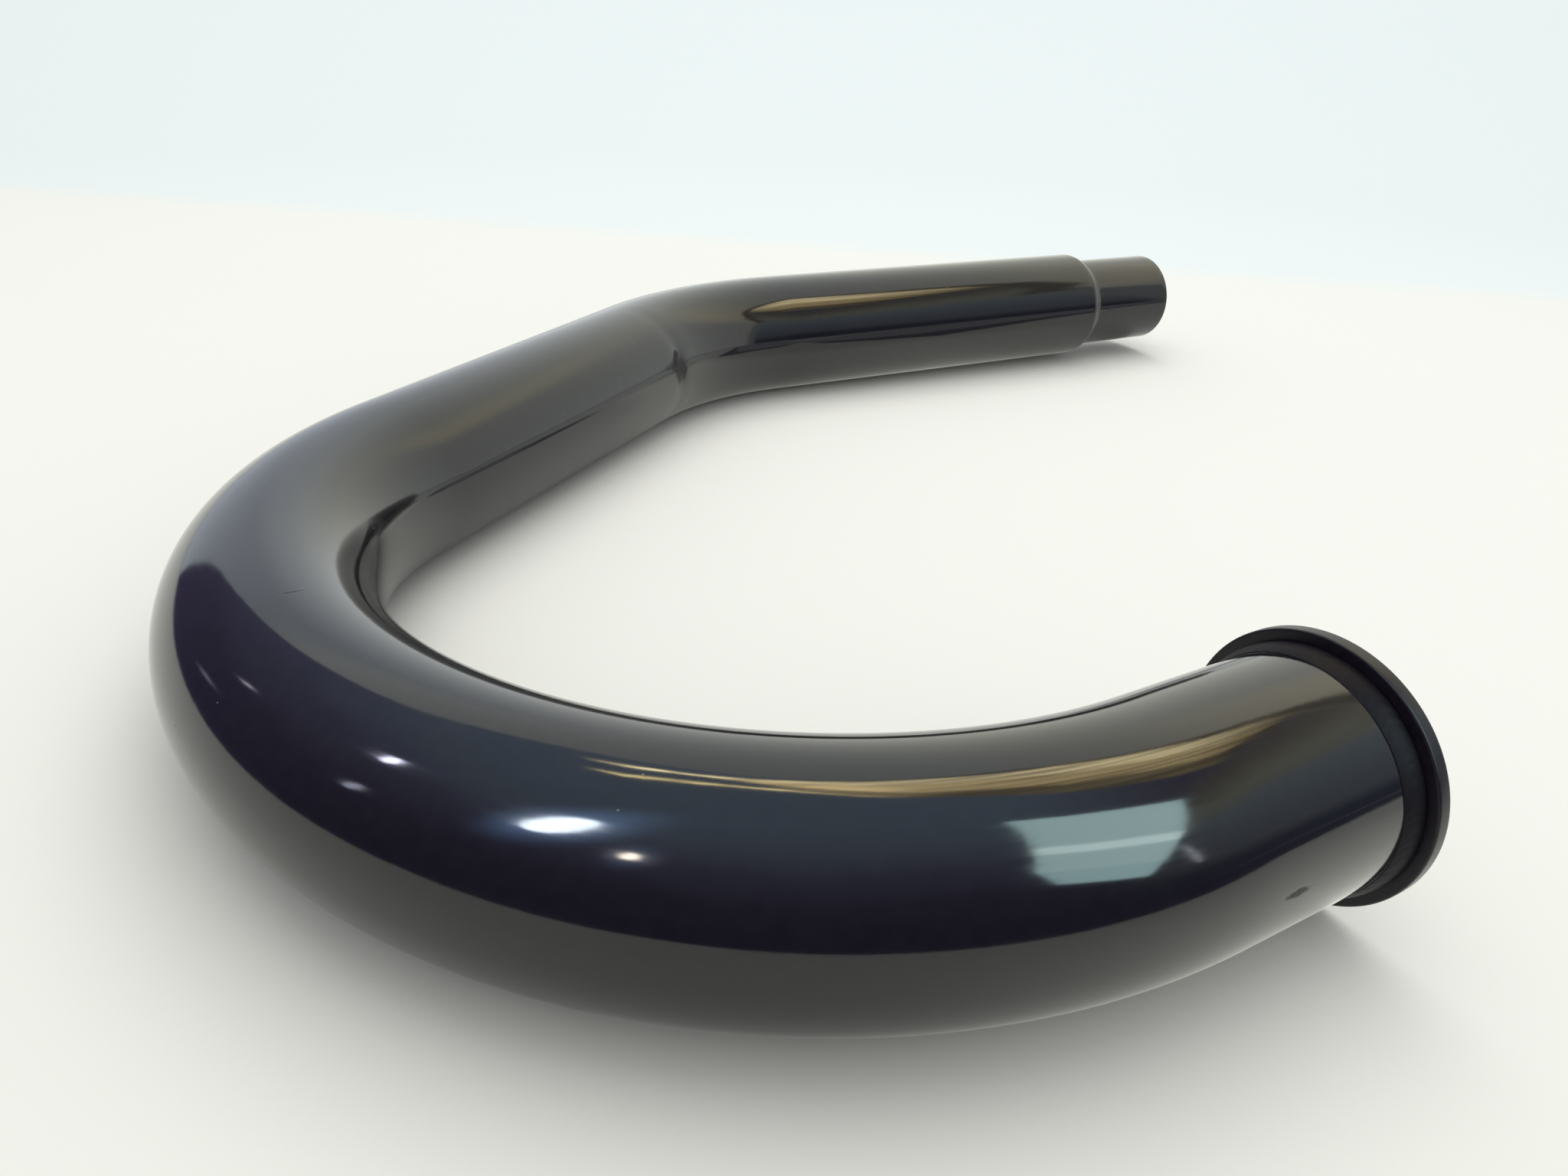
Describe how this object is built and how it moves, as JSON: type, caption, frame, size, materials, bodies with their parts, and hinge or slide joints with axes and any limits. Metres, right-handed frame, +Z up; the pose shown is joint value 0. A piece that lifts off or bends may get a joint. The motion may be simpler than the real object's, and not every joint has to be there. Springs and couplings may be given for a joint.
{
  "type": "motorcycle exhaust header",
  "caption": "Bent steel exhaust header pipe in gloss black, with a welded collar ring at the head end, a large U bend, a milder second bend and a swaged slip-in spigot.",
  "frame": {"origin": "centre of the footprint's box, on the floor the header lies on", "axes": "+Z up from the floor; +X along the tail straight towards the spigot's mouth; the collar and the large bend's near leg are on the -Y side"},
  "size_m": [0.446, 0.3586, 0.051],
  "materials": {
    "tube_coat": "gloss black enamel",
    "collar_coat": "satin black enamel",
    "weld_coat": "black enamel over weld ripples"
  },
  "bodies": {
    "root": {"header_tube": "tube_coat", "collar": "collar_coat", "collar_weld": "weld_coat"}
  },
  "joints": []
}
